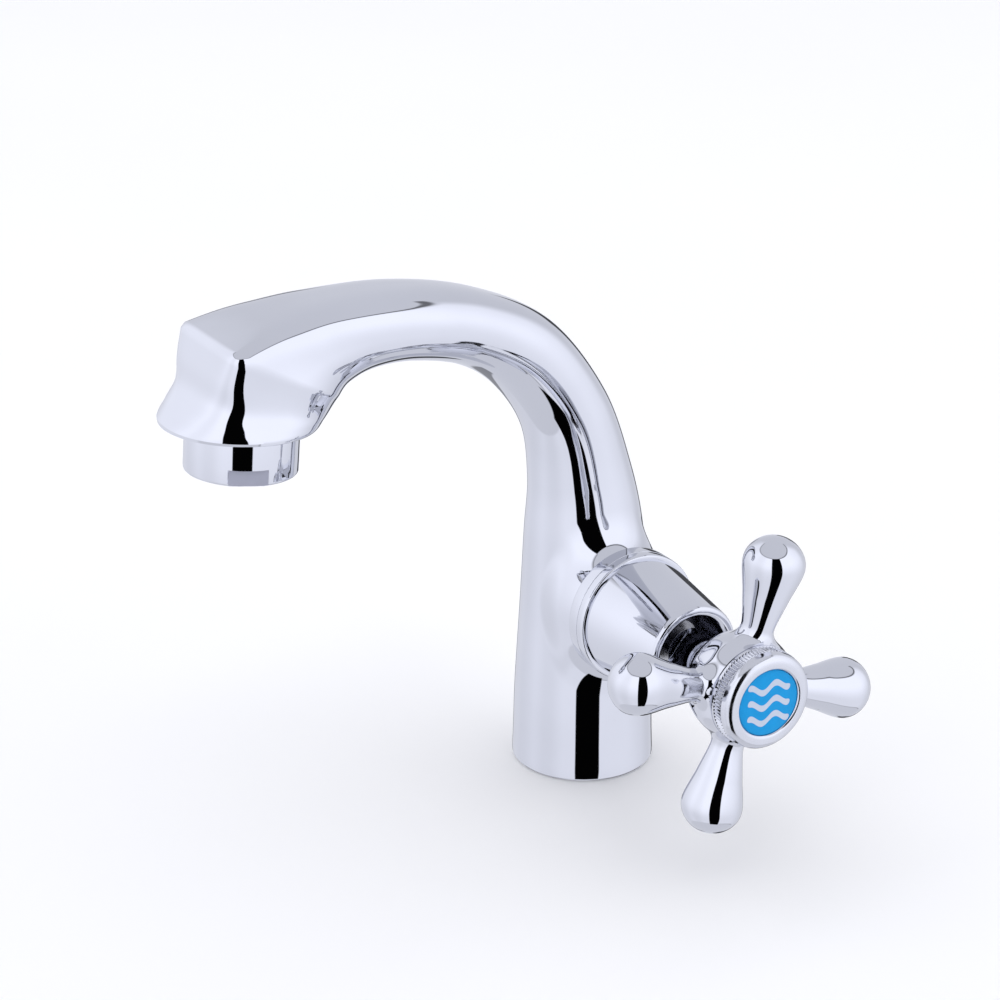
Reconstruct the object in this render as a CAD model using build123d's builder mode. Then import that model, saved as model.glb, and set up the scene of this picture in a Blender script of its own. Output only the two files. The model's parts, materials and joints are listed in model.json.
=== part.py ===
"""Single pillar tap with an arched spout, a side valve and a four-armed cross handle.

The origin is the centre of the column's foot, +Z is up, the spout points along -Y and the
handle's axis points along +X. All sizes are in millimetres.
"""
import os
from math import cos, pi, radians, sin

from build123d import *

# ---- driving dimensions -------------------------------------------------------------------
WALL = 3.0                    # thickness of the casting
FLOOR = 10.0                  # thickness of the column's foot
FOOT_R = 19.7

HANDLE_Z = 51.3               # height of the handle's axis above the deck
BOSS_R = 16.8                 # side boss that takes the headwork
BOSS_END = 20.5
SEAT_X = -2.0                 # face that the seat gasket presses on
SEAT_R = 11.0
THREAD_R = 10.4               # G1/2 thread of the headwork
RING_R = 17.8                 # trim ring
RING_END = 24.6
SHROUD_LIP = 53.6             # front edge of the shroud
MOUTH_R = 10.0
ARM_X = 74.7                  # plane of the four arms
ARM_REACH = 39.7
ARM_TURN = 14.5               # degrees that the arms stand off the upright
HUB_FRONT = 79.4
INDEX_FRONT = 86.4
DISC_R = 8.75

OUTLET = (-100.9, 104.2)      # centre of the aerator's lower rim, y and z
OUTLET_TILT = 4.5             # degrees that the outlet leans outwards
HOUSING_R = 14.3
LIP_HEIGHT = 12.0             # underside of the nose above the aerator's rim
SOCKET_R = 12.1               # M24 thread of the aerator in the nose
SOCKET_DEPTH = 7.0

INLET_X = -7.0
INLET_R = 4.5                 # wall of the M10 x 1 inlet thread
INLET_LENGTH = 9.0
STUD_X = 8.0
STUD_R = 3.35                 # wall of the M8 stud thread
STUD_LENGTH = 8.0

SPINDLE_R = 4.0
RUNNING_FIT = 0.05            # radial clearance of the spindle in the headwork
SECTION_POINTS = 24           # even, as a section is drawn in two halves
STATION_STEPS = 3             # sections lofted for each one stated

# Sections of the casting: inner point (y, z), outer point (y, z), half width, and the
# squareness of the inner and of the outer half
COLUMN_AND_ARCH = [
    ((-18.4, 0.0), (18.4, 0.0), 18.4, 2.0, 2.0),
    ((-19.3, 0.5), (19.3, 0.5), 19.3, 2.0, 2.0),
    ((-19.6, 1.6), (19.6, 1.6), 19.6, 2.0, 2.0),
    ((-19.4, 8.0), (19.4, 8.0), 19.4, 2.0, 2.0),
    ((-19.0, 22.0), (19.0, 22.0), 19.0, 2.0, 2.0),
    ((-17.7, 45.0), (17.8, 45.0), 17.8, 2.0, 2.0),
    ((-16.7, 67.0), (15.7, 69.0), 16.2, 2.0, 2.0),
    ((-16.0, 83.0), (11.6, 87.3), 14.1, 2.0, 2.0),
    ((-18.3, 99.0), (3.0, 109.0), 13.0, 2.1, 2.1),
    ((-27.7, 113.0), (-13.0, 129.5), 13.0, 2.2, 2.2),
    ((-40.7, 122.0), (-33.8, 140.4), 13.1, 2.4, 2.4),
    ((-56.0, 126.1), (-56.6, 145.1), 14.0, 2.5, 2.7),
    ((-66.5, 126.0), (-80.0, 145.4), 14.1, 2.4, 3.2),
    ((-73.1, 123.5), (-95.0, 143.6), 15.4, 2.2, 4.2),
    ((-76.2, 121.0), (-109.0, 139.2), 17.6, 2.3, 9.0),
]
NOSE = [
    ((-76.2, 121.0), (-109.0, 139.2), 17.6, 2.3, 9.0),
    ((-77.2, 119.5), (-111.5, 132.1), 17.2, 2.2, 6.0),
    ((-78.3, 118.0), (-113.2, 126.4), 17.4, 2.1, 4.0),
    ((-79.6, 116.7), (-117.1, 122.2), 18.8, 2.0, 2.8),
    ((-81.0, 115.5), (-120.8, 118.5), 19.8, 2.0, 2.1),
    ((-81.8, 114.8), (-118.9, 117.3), 18.4, 2.0, 2.0),
]
FIRST_HOLLOW = 4              # first section that the cavity follows
CAVITY_FIRST = ((-16.4, FLOOR), (16.4, FLOOR), 16.4, 2.0, 2.0)
CAVITY_LAST = ((-79.5, 124.0), (-104.5, 135.0), 12.5, 2.2, 3.0)

# ---- planes and axes ----------------------------------------------------------------------
AXIAL = Plane(origin=(0, 0, HANDLE_Z), x_dir=(1, 0, 0), z_dir=(0, -1, 0))
HANDLE_AXIS = Axis((0, 0, HANDLE_Z), (1, 0, 0))
outlet_direction = Vector(0, sin(radians(OUTLET_TILT)), cos(radians(OUTLET_TILT)))
OUTLET_PLANE = Plane(origin=(0, *OUTLET), x_dir=(1, 0, 0), z_dir=outlet_direction)
OUTLET_SIDE = Plane(origin=(0, *OUTLET), x_dir=(0, outlet_direction.Z, -outlet_direction.Y),
                    z_dir=(1, 0, 0))
OUTLET_AXIS = Axis((0, *OUTLET), outlet_direction)


def across(x):
    """Plane square to the handle's axis, facing outwards."""
    return Plane(origin=(x, 0, HANDLE_Z), x_dir=(0, 1, 0), z_dir=(1, 0, 0))


def smooth(values, start, share):
    """Catmull-Rom value between two neighbours of a list."""
    before = values[max(start - 1, 0)]
    first = values[start]
    second = values[start + 1]
    after = values[min(start + 2, len(values) - 1)]
    bend = 3 * (first - second) + after - before
    curve = 2 * before - 5 * first + 4 * second - after + share * bend
    return first + 0.5 * share * (second - before + share * curve)


def between(stations):
    """The stations, with smooth ones added between each pair."""
    columns = list(zip(*[(*inner, *outer, *rest) for inner, outer, *rest in stations]))
    full = []
    for start in range(len(stations) - 1):
        for step in range(STATION_STEPS):
            share = step / STATION_STEPS
            a, b, c, d, *rest = [smooth(column, start, share) for column in columns]
            full.append(((a, b), (c, d), *rest))
    return full + [stations[-1]]


def casting_section(inner, outer, half_width, inner_squareness, outer_squareness, wall=0.0):
    """Closed superelliptic section between two points of the side view, less the wall."""
    middle = Vector(0, (inner[0] + outer[0]) / 2, (inner[1] + outer[1]) / 2)
    outward = Vector(0, outer[0] - inner[0], outer[1] - inner[1])
    half_depth = outward.length / 2 - wall
    half_width = half_width - wall
    plane = Plane(origin=middle, x_dir=(1, 0, 0), z_dir=Vector(1, 0, 0).cross(outward))
    points = []
    for k in range(SECTION_POINTS):
        turn = 2 * pi * k / SECTION_POINTS
        power = outer_squareness if 2 * k < SECTION_POINTS else inner_squareness
        size = (abs(cos(turn)) ** power + abs(sin(turn)) ** power) ** (-1 / power)
        points.append((half_width * size * cos(turn), half_depth * size * sin(turn)))
    with BuildSketch(plane) as section:
        with BuildLine():
            Spline(*points[:SECTION_POINTS // 2 + 1])
            Spline(*points[SECTION_POINTS // 2:], points[0])
        make_face()
    return section.sketch


def save(piece, name):
    """Label one finished piece and write its STEP file."""
    piece.part.label = name
    export_step(piece.part, f"parts/{name}.step")


os.makedirs("parts", exist_ok=True)

# ---- body: one casting of column, arched spout, nose and side boss --------------------------
outside = between(COLUMN_AND_ARCH) + between(NOSE)[1:]
body_sections = [casting_section(*station) for station in outside]
hollow = between(COLUMN_AND_ARCH[FIRST_HOLLOW:-1])
cavity_sections = [casting_section(*CAVITY_FIRST)]
cavity_sections += [casting_section(*station, wall=WALL) for station in hollow]
cavity_sections += [casting_section(*CAVITY_LAST)]

with BuildPart() as cavity:
    loft(sections=cavity_sections)
    with BuildSketch(across(SEAT_X)):
        Circle(SEAT_R)
    extrude(amount=-FOOT_R, mode=Mode.SUBTRACT)
    with BuildSketch(Plane.XY):
        with Locations((INLET_X, 0)):
            Circle(INLET_R + WALL)
    extrude(amount=HANDLE_Z, mode=Mode.SUBTRACT)

GASKET_OUTER = 17.4
GASKET_INNER = 13.6
GASKET_DEPTH = 1.5
SEAT_BORE_R = 5.0
SEAT_BORE_LENGTH = 9.6
INLET_BORE_R = 4.0
SPIGOT_R = 13.4               # boss spigot that centres the trim ring
SPIGOT_LENGTH = 1.6
ORING_SEAT_R = 12.3
OUTLET_BORE_R = 9.5
OUTLET_BORE_TOP = 24.0

with BuildPart() as body:
    loft(sections=body_sections)
    with BuildSketch(across(0)):
        Circle(BOSS_R)
    extrude(amount=BOSS_END)
    with BuildSketch(across(BOSS_END)):
        Circle(SPIGOT_R)
    extrude(amount=SPIGOT_LENGTH)
    add(cavity.part, mode=Mode.SUBTRACT)
    with BuildSketch(across(SEAT_X)):
        Circle(THREAD_R)
    extrude(amount=BOSS_END - SEAT_X, mode=Mode.SUBTRACT)
    with BuildSketch(across(BOSS_END)):
        Circle(ORING_SEAT_R)
    extrude(amount=SPIGOT_LENGTH, mode=Mode.SUBTRACT)
    with BuildSketch(across(SEAT_X)):
        Circle(SEAT_BORE_R)
    extrude(amount=-SEAT_BORE_LENGTH, mode=Mode.SUBTRACT)
    with BuildSketch(Plane.XY):
        with Locations((INLET_X, 0)):
            Circle(INLET_BORE_R)
    extrude(amount=HANDLE_Z, mode=Mode.SUBTRACT)
    with BuildSketch(Plane.XY):
        with Locations((INLET_X, 0)):
            Circle(INLET_R)
    extrude(amount=INLET_LENGTH, mode=Mode.SUBTRACT)
    with BuildSketch(Plane.XY):
        with Locations((STUD_X, 0)):
            Circle(STUD_R)
    extrude(amount=STUD_LENGTH, mode=Mode.SUBTRACT)
    with BuildSketch(Plane.XY):
        Circle(GASKET_OUTER)
        Circle(GASKET_INNER, mode=Mode.SUBTRACT)
    extrude(amount=GASKET_DEPTH, mode=Mode.SUBTRACT)
    with BuildSketch(OUTLET_PLANE.offset(LIP_HEIGHT - WALL)):
        Circle(SOCKET_R)
    extrude(amount=WALL + SOCKET_DEPTH, mode=Mode.SUBTRACT)
    with BuildSketch(OUTLET_PLANE.offset(LIP_HEIGHT)):
        Circle(OUTLET_BORE_R)
    extrude(amount=OUTLET_BORE_TOP - LIP_HEIGHT, mode=Mode.SUBTRACT)
save(body, "body")

with BuildPart() as base_gasket:
    with BuildSketch(Plane.XY):
        Circle(GASKET_OUTER)
        Circle(GASKET_INNER, mode=Mode.SUBTRACT)
    extrude(amount=GASKET_DEPTH)
save(base_gasket, "base_gasket")

# ---- trim ring and shroud -------------------------------------------------------------------
RING_BORE = SPIGOT_R + 0.1
RING_CHAMFER = 0.4
RING_BACK_CHAMFER = 0.9
with BuildPart() as trim_ring:
    with BuildSketch(AXIAL):
        with BuildLine():
            Polyline((BOSS_END, RING_BORE), (RING_END, RING_BORE), (RING_END, RING_R - RING_CHAMFER),
                     (RING_END - RING_CHAMFER, RING_R), (BOSS_END + 2 * RING_BACK_CHAMFER, RING_R),
                     (BOSS_END, RING_R - RING_BACK_CHAMFER), close=True)
        make_face()
    revolve(axis=HANDLE_AXIS)
save(trim_ring, "trim_ring")

SHROUD_BACK_R = 16.6
SHROUD_FRONT_R = 12.9
SHOULDER_END = 27.3
COLLAR_R = 12.6               # thread between the shroud and the headwork's collar
COLLAR_END = 29.0
with BuildPart() as bonnet_shroud:
    with BuildSketch(AXIAL):
        with BuildLine():
            Polyline((RING_END, COLLAR_R), (RING_END, RING_R - 0.1), (SHOULDER_END - 0.9, RING_R - 0.1),
                     (SHOULDER_END, RING_R - 0.7), (SHOULDER_END, SHROUD_BACK_R),
                     (SHROUD_LIP - 1.4, SHROUD_FRONT_R),
                     (SHROUD_LIP - 0.4, SHROUD_FRONT_R - 0.3), (SHROUD_LIP, SHROUD_FRONT_R - 0.9),
                     (SHROUD_LIP, 11.2), (SHROUD_LIP - 0.9, MOUTH_R), (SHROUD_LIP - 3.5, MOUTH_R),
                     (SHROUD_LIP - 3.5, 11.3), (COLLAR_END + 1.0, 14.0), (COLLAR_END, 14.0),
                     (COLLAR_END, COLLAR_R), close=True)
        make_face()
    revolve(axis=HANDLE_AXIS)
save(bonnet_shroud, "bonnet_shroud")

# ---- headwork -------------------------------------------------------------------------------
NOSE_R = 9.2
DISC_BORE_R = 7.8
PORT_WIDTH = 8.0
PORT_START = 4.4
PORT_LENGTH = 3.6
GASKET_THICK = 2.0
CERAMIC_R = 7.6
CERAMIC_THICK = 2.4
HEAD_START = SEAT_X + GASKET_THICK           # open end of the headwork
FIXED_END = HEAD_START + CERAMIC_THICK
MOVING_END = FIXED_END + CERAMIC_THICK
CARRIER_THICK = 3.0           # disc end of the spindle that drives the moving disc
WASHER_SPACE = 0.6
DOG_END = MOVING_END + CARRIER_THICK
WASHER_END = DOG_END + WASHER_SPACE
THREAD_START = 10.0
FLANGE_R = 13.2
HEX_FLATS = 21.0
HEX_START = 23.4
HEX_END = 25.4
NECK_R = 7.6
NECK_END = 44.0
BORE_R = SPINDLE_R + RUNNING_FIT
with BuildPart() as valve_body:
    with BuildSketch(AXIAL):
        with BuildLine():
            Polyline((HEAD_START, DISC_BORE_R), (HEAD_START, NOSE_R), (THREAD_START, NOSE_R),
                     (THREAD_START, THREAD_R - 0.05), (22.3, THREAD_R - 0.05), (22.3, FLANGE_R),
                     (HEX_START, FLANGE_R), (HEX_START, COLLAR_R - 0.1), (COLLAR_END, COLLAR_R - 0.1),
                     (COLLAR_END, NECK_R + 1.0), (36.0, NECK_R), (NECK_END, NECK_R),
                     (NECK_END, BORE_R), (WASHER_END, BORE_R), (WASHER_END, DISC_BORE_R), close=True)
        make_face()
    revolve(axis=HANDLE_AXIS)
    with BuildSketch(across(COLLAR_END)):
        RegularPolygon(radius=HEX_FLATS / 2, side_count=6, major_radius=False)
        Circle(NECK_R, mode=Mode.SUBTRACT)
    extrude(amount=HEX_END - HEX_START)
    with BuildSketch(Plane.XY.offset(HANDLE_Z - NOSE_R - 1)):
        with Locations((PORT_START + PORT_LENGTH / 2, 0)):
            Rectangle(PORT_LENGTH, PORT_WIDTH)
    extrude(amount=2 * NOSE_R + 2, mode=Mode.SUBTRACT)
save(valve_body, "valve_body")

BODY_ORING_R = 0.85
with BuildPart() as body_oring:
    with BuildSketch(AXIAL):
        with Locations((BOSS_END + BODY_ORING_R, ORING_SEAT_R - BODY_ORING_R - 0.1)):
            Circle(BODY_ORING_R)
    revolve(axis=HANDLE_AXIS)
save(body_oring, "body_oring")

with BuildPart() as seat_gasket:
    with BuildSketch(across(SEAT_X)):
        Circle(DISC_BORE_R)
        Circle(SEAT_BORE_R, mode=Mode.SUBTRACT)
    extrude(amount=GASKET_THICK)
save(seat_gasket, "seat_gasket")

SECTOR_RADIUS = 3.4           # middle of the ceramic discs' water passage
SECTOR_LENGTH = 6.4
SECTOR_WIDTH = 4.0
with BuildPart() as fixed_disc:
    with BuildSketch(across(HEAD_START)):
        Circle(CERAMIC_R)
        with Locations((0, SECTOR_RADIUS)):
            SlotOverall(SECTOR_LENGTH, SECTOR_WIDTH, mode=Mode.SUBTRACT)
    extrude(amount=CERAMIC_THICK)
save(fixed_disc, "fixed_disc")

DOG_WIDTH = 3.0
DOG_DEPTH = 1.0
with BuildPart() as moving_disc:
    with BuildSketch(across(FIXED_END)):
        Circle(CERAMIC_R)
        with Locations((0, -SECTOR_RADIUS)):
            SlotOverall(SECTOR_LENGTH, SECTOR_WIDTH, mode=Mode.SUBTRACT)
    extrude(amount=CERAMIC_THICK)
    with BuildSketch(across(MOVING_END)):
        Rectangle(2 * CERAMIC_R, DOG_WIDTH)
    extrude(amount=-DOG_DEPTH, mode=Mode.SUBTRACT)
save(moving_disc, "moving_disc")

SPINDLE_END = 65.5
CLIP_X = NECK_END + 0.4
CLIP_THICK = 1.0
CLIP_GROOVE_R = 3.2
ORING_X = (18.0, 24.0)
ORING_R = 0.9
SPLINES = 20
SPLINE_DEPTH = 0.45
SPLINE_WIDTH = 0.5
SPINDLE_CHAMFER = 0.6
SPLINE_START = 52.0
SCREW_R = 2.1
SCREW_HOLE_LENGTH = 12.0
with BuildPart() as spindle:
    with BuildSketch(AXIAL):
        with BuildLine():
            Polyline((MOVING_END, 0), (MOVING_END, CERAMIC_R - 0.1), (DOG_END, CERAMIC_R - 0.1),
                     (DOG_END, SPINDLE_R), (SPINDLE_END - SPINDLE_CHAMFER, SPINDLE_R),
                     (SPINDLE_END, SPINDLE_R - SPINDLE_CHAMFER), (SPINDLE_END, 0), close=True)
        make_face()
    revolve(axis=HANDLE_AXIS)
    with BuildSketch(across(MOVING_END)):
        Rectangle(2 * CERAMIC_R - 2, DOG_WIDTH)
    extrude(amount=-DOG_DEPTH)
    for x in ORING_X:
        with BuildSketch(across(x - ORING_R)):
            Circle(SPINDLE_R + 1)
            Circle(SPINDLE_R - 2 * ORING_R, mode=Mode.SUBTRACT)
        extrude(amount=2 * ORING_R, mode=Mode.SUBTRACT)
    with BuildSketch(across(CLIP_X)):
        Circle(SPINDLE_R + 1)
        Circle(CLIP_GROOVE_R, mode=Mode.SUBTRACT)
    extrude(amount=CLIP_THICK, mode=Mode.SUBTRACT)
    with BuildSketch(across(SPLINE_START)):
        with PolarLocations(SPINDLE_R, SPLINES):
            Rectangle(2 * SPLINE_DEPTH, SPLINE_WIDTH)
    extrude(amount=SPINDLE_END - SPLINE_START, mode=Mode.SUBTRACT)
    with BuildSketch(across(SPINDLE_END)):
        Circle(SCREW_R)
    extrude(amount=-SCREW_HOLE_LENGTH, mode=Mode.SUBTRACT)
save(spindle, "spindle")

with BuildPart() as friction_washer:
    with BuildSketch(across(DOG_END)):
        Circle(CERAMIC_R - 0.1)
        Circle(SPINDLE_R, mode=Mode.SUBTRACT)
    extrude(amount=WASHER_SPACE - RUNNING_FIT)
save(friction_washer, "friction_washer")

with BuildPart() as spindle_orings:
    with BuildSketch(AXIAL):
        with Locations(*[(x, SPINDLE_R - ORING_R) for x in ORING_X]):
            Circle(ORING_R)
    revolve(axis=HANDLE_AXIS)
save(spindle_orings, "spindle_orings")

CLIP_R = 6.4
CLIP_GAP = 3.0
with BuildPart() as spindle_clip:
    with BuildSketch(across(CLIP_X)):
        Circle(CLIP_R)
        Circle(CLIP_GROOVE_R, mode=Mode.SUBTRACT)
        with Locations((0, -CLIP_R)):
            Rectangle(CLIP_GAP, 2 * CLIP_R, mode=Mode.SUBTRACT)
    extrude(amount=CLIP_THICK)
save(spindle_clip, "spindle_clip")

# ---- cross handle ---------------------------------------------------------------------------
NECK_START = 50.0             # rear spigot of the hub, inside the shroud's mouth
HUB_NECK_R = 6.4
HUB_REAR = 63.5
HUB_REAR_R = 8.4
HUB_R = 14.0
HUB_MIDDLE = 74.0
HUB_FRONT_R = 12.9
RECESS_R = 10.0
RECESS_START = 70.0
SCREW_CLEARANCE_R = 2.6
SPINDLE_BORE_END = SPINDLE_END + 0.3
ARMS = 4
ROOT_R = 4.1
BULB_R = 7.85
BULB_REACH = 32.8
ARM_ROOT = 11.0
TIP_R = 0.4
with BuildPart() as cross_handle:
    with BuildSketch(AXIAL):
        with BuildLine():
            Polyline((HUB_REAR, HUB_REAR_R), (HUB_REAR, HUB_NECK_R), (NECK_START, HUB_NECK_R),
                     (NECK_START, BORE_R), (SPINDLE_BORE_END, BORE_R),
                     (SPINDLE_BORE_END, SCREW_CLEARANCE_R), (RECESS_START, SCREW_CLEARANCE_R),
                     (RECESS_START, RECESS_R), (HUB_FRONT, RECESS_R), (HUB_FRONT, HUB_FRONT_R))
            Spline((HUB_FRONT, HUB_FRONT_R), (HUB_MIDDLE, HUB_R), (67.5, 12.2),
                   (HUB_REAR, HUB_REAR_R))
        make_face()
    revolve(axis=HANDLE_AXIS)
    for k in range(ARMS):
        turn = radians(ARM_TURN) + 2 * pi * k / ARMS
        reach = Vector(0, sin(turn), cos(turn))
        arm_origin = Vector(ARM_X, 0, HANDLE_Z)
        with BuildSketch(Plane(origin=arm_origin, x_dir=reach, z_dir=(1, 0, 0))):
            with BuildLine():
                Polyline((ARM_REACH, TIP_R), (ARM_REACH, 0), (ARM_ROOT, 0),
                         (ARM_ROOT, ROOT_R + 0.4))
                Spline((ARM_ROOT, ROOT_R + 0.4), (16.0, ROOT_R + 0.1), (24.0, 5.9),
                       (BULB_REACH, BULB_R), (37.8, 5.2), (ARM_REACH, TIP_R),
                       tangents=((1, -0.15), (0, -1)))
            make_face()
        revolve(axis=Axis(arm_origin, reach))
save(cross_handle, "cross_handle")

SCREW_HEAD_R = 4.3
SCREW_HEAD_THICK = 3.0
SCREW_ENGAGEMENT = 10.0       # length of its thread inside the spindle
CROSS_SLOT = 1.0
CROSS_SLOT_DEPTH = 1.4
with BuildPart() as handle_screw:
    with BuildSketch(across(RECESS_START)):
        Circle(SCREW_HEAD_R)
    extrude(amount=SCREW_HEAD_THICK)
    with BuildSketch(across(RECESS_START)):
        Circle(SCREW_R)
    extrude(amount=-(RECESS_START - SPINDLE_END + SCREW_ENGAGEMENT))
    with BuildSketch(across(RECESS_START + SCREW_HEAD_THICK)):
        Rectangle(2 * SCREW_HEAD_R, CROSS_SLOT)
        Rectangle(CROSS_SLOT, 2 * SCREW_HEAD_R)
    extrude(amount=-CROSS_SLOT_DEPTH, mode=Mode.SUBTRACT)
save(handle_screw, "handle_screw")

INDEX_R = 12.9
INDEX_BORE_R = 8.2
DISC_START = 84.9
DISC_FRONT = 86.1
with BuildPart() as index_ring:
    with BuildSketch(AXIAL):
        with BuildLine():
            Polyline((HUB_FRONT, INDEX_R), (82.4, INDEX_R), (84.6, 12.5), (85.9, 11.6),
                     (INDEX_FRONT, 10.5), (INDEX_FRONT, 9.3), (INDEX_FRONT - 0.4, DISC_R + 0.05),
                     (DISC_START, DISC_R + 0.05), (DISC_START, INDEX_BORE_R), (75.0, INDEX_BORE_R),
                     (75.0, RECESS_R - 0.05), (HUB_FRONT, RECESS_R - 0.05), close=True)
        make_face()
    revolve(axis=HANDLE_AXIS)
save(index_ring, "index_ring")

with BuildPart() as index_disc:
    with BuildSketch(across(DISC_START)):
        Circle(DISC_R)
    extrude(amount=DISC_FRONT - DISC_START)
save(index_disc, "index_disc")

# ---- aerator --------------------------------------------------------------------------------
SKIRT_TOP = 11.4
HOUSING_TOP = 17.5
HOUSING_BORE_R = 11.2
HOUSING_THREAD_R = 12.0
FLAT_HEIGHT = 4.2
FLAT_WIDTH = 10.0
FLAT_DISTANCE = 13.2
FLAT_CUT = 4.0                # radial reach of the cut that makes a flat
FLAT_AZIMUTH = -17.0          # of the first wrench flat, from +X
INSERT_SHELF_R = 10.2
with BuildPart() as aerator_housing:
    with BuildSketch(OUTLET_SIDE):
        with BuildLine():
            Polyline((HOUSING_BORE_R, 2.0), (INSERT_SHELF_R, 1.2), (INSERT_SHELF_R, 0.0),
                     (HOUSING_R - 1.0, 0.0), (HOUSING_R, 1.0), (HOUSING_R, SKIRT_TOP),
                     (HOUSING_THREAD_R, SKIRT_TOP), (HOUSING_THREAD_R, HOUSING_TOP),
                     (HOUSING_BORE_R, HOUSING_TOP), close=True)
        make_face()
    revolve(axis=OUTLET_AXIS)
    with BuildSketch(OUTLET_PLANE):
        for turn in (FLAT_AZIMUTH, FLAT_AZIMUTH + 180):
            with Locations(Rot(0, 0, turn)):
                with Locations((FLAT_DISTANCE + FLAT_CUT / 2, 0)):
                    Rectangle(FLAT_CUT, FLAT_WIDTH)
    extrude(amount=FLAT_HEIGHT, mode=Mode.SUBTRACT)
save(aerator_housing, "aerator_housing")

INSERT_R = 11.1
INSERT_START = 2.2
INSERT_TOP = 9.0
GRID_COUNT = 5
GRID_PITCH = 3.2
GRID_HOLE = 2.5
with BuildPart() as aerator_insert:
    with BuildSketch(OUTLET_PLANE.offset(INSERT_START)):
        Circle(INSERT_R)
    extrude(amount=INSERT_TOP - INSERT_START)
    with BuildSketch(OUTLET_PLANE.offset(INSERT_START)):
        with HexLocations(GRID_PITCH / 2, GRID_COUNT, GRID_COUNT):
            RegularPolygon(radius=GRID_HOLE / 2, side_count=6, major_radius=False)
    extrude(amount=INSERT_TOP - INSERT_START, mode=Mode.SUBTRACT)
save(aerator_insert, "aerator_insert")

PLATE_THICK = 2.0
JET_R = 0.6
OUTER_JETS = (8.0, 16)        # radius of the circle of jets and their number
INNER_JETS = (5.0, 10)
with BuildPart() as aerator_jet_plate:
    with BuildSketch(OUTLET_PLANE.offset(INSERT_TOP)):
        Circle(INSERT_R)
        for radius, count in (OUTER_JETS, INNER_JETS):
            with PolarLocations(radius, count):
                Circle(JET_R, mode=Mode.SUBTRACT)
    extrude(amount=PLATE_THICK)
save(aerator_jet_plate, "aerator_jet_plate")

SCREEN_THICK = 0.5
SCREEN_PITCH = 1.5
SCREENS = 2
with BuildPart() as aerator_screens:
    for k in range(SCREENS):
        with BuildSketch(OUTLET_PLANE.offset(INSERT_TOP + PLATE_THICK + SCREEN_PITCH * k)):
            Circle(INSERT_R)
        extrude(amount=SCREEN_THICK)
save(aerator_screens, "aerator_screens")

with BuildPart() as aerator_gasket:
    with BuildSketch(OUTLET_PLANE.offset(HOUSING_TOP)):
        Circle(HOUSING_THREAD_R)
        Circle(OUTLET_BORE_R, mode=Mode.SUBTRACT)
    extrude(amount=LIP_HEIGHT + SOCKET_DEPTH - HOUSING_TOP)
save(aerator_gasket, "aerator_gasket")
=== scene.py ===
"""Looks of a chrome pillar tap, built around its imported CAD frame.

Shapes are worked out in millimetres in the CAD's own frame and turned into metres as their
meshes are made: +Z is up, the spout points along -Y and the handle's axis along +X.
"""

import json
from math import cos, pi, radians, sin

import bmesh
import bpy
import numpy as np
from mathutils import Matrix, Vector


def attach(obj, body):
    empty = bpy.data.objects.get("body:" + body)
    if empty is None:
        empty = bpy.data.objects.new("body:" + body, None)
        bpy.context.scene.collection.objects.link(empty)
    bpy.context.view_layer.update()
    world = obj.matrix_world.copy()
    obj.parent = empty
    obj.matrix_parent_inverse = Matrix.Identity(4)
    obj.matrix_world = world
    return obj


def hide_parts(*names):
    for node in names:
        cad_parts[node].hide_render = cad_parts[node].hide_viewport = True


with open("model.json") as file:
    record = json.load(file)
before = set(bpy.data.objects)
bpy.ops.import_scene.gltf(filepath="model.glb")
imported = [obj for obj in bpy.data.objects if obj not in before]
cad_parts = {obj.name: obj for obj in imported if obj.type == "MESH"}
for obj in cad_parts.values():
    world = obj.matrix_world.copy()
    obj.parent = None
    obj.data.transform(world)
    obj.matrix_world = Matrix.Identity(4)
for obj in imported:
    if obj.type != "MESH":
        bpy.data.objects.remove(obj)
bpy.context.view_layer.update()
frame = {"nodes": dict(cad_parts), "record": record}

MM = 0.001

# ---- sizes that follow the CAD, in millimetres ------------------------------------------------
HANDLE_Z = 51.3
BOSS_R = 14.4
BOSS_END = 20.5
RING_END = 24.6
RING_R = 17.8
SHROUD_LIP = 53.6
HUB_REAR = 63.5
HUB_FRONT = 79.4
INDEX_FRONT = 86.4
SPIGOT_END = 22.1             # short collar in front of the boss, inside the trim ring
SPIGOT_R = 13.4
SPIGOT_BORE_R = 12.3
SEAT_BORE_R = 10.5
SEAT_BORE_END = -2.0
GROOVE_OUTER_R = 17.4         # groove for the gasket under the foot
GROOVE_INNER_R = 13.6
GROOVE_DEPTH = 1.5
ARM_X = 74.7
ARM_TURN = radians(14.5)
ARM_REACH = 39.7
BORE_R = 4.05                 # splined bore of the handle
RECESS_R = 10.0
DISC_START = 84.9
DISC_FRONT = 86.1
DISC_R = 8.75
OUTLET = Vector((0, -100.9, 104.2))
OUTLET_TILT = radians(4.5)
OUTLET_UP = Vector((0, sin(OUTLET_TILT), cos(OUTLET_TILT)))
LIP_HEIGHT = 12.0
SOCKET_R = 12.1
SOCKET_TOP = 19.0
OUTLET_BORE_R = 9.5
OUTLET_BORE_TOP = 24.0

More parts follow.
